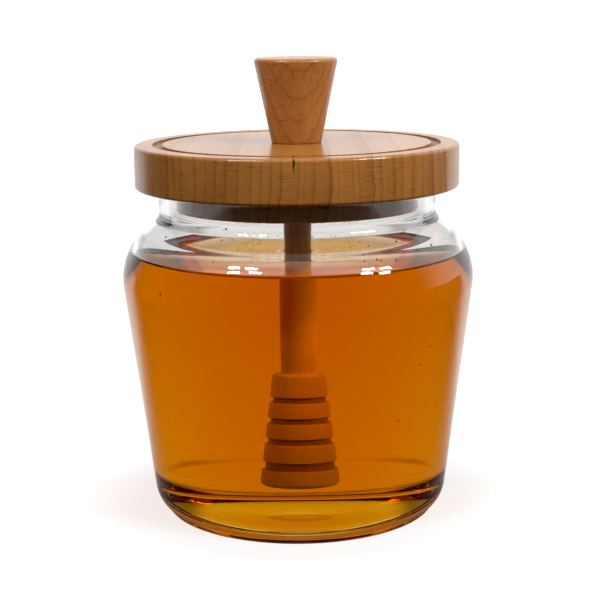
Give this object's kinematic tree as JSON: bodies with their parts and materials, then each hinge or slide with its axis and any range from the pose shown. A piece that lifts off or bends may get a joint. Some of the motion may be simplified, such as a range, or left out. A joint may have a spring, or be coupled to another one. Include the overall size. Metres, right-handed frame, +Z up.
{
  "type": "honey jar with dipper",
  "caption": "Clear glass jar of honey with a round shoulder, closed by a turned wooden lid with a flared knob; a grooved wooden dipper hangs from the lid into the honey.",
  "frame": {"origin": "middle of the jar's base, on the surface that it stands on", "axes": "+Z up along the jar's axis of revolution, X and Y alike across it"},
  "size_m": [0.1026, 0.1026, 0.1322],
  "materials": {
    "jar_glass": "clear pressed glass, smooth",
    "honey_fill": "clear amber liquid",
    "lid_wood": "oiled beech, satin",
    "knob_wood": "oiled beech, satin",
    "dipper_wood": "plain beech, wet with honey"
  },
  "bodies": {
    "root": {"jar": "jar_glass", "honey": "honey_fill", "lid": "lid_wood", "knob": "knob_wood", "dipper": "dipper_wood"}
  },
  "joints": []
}
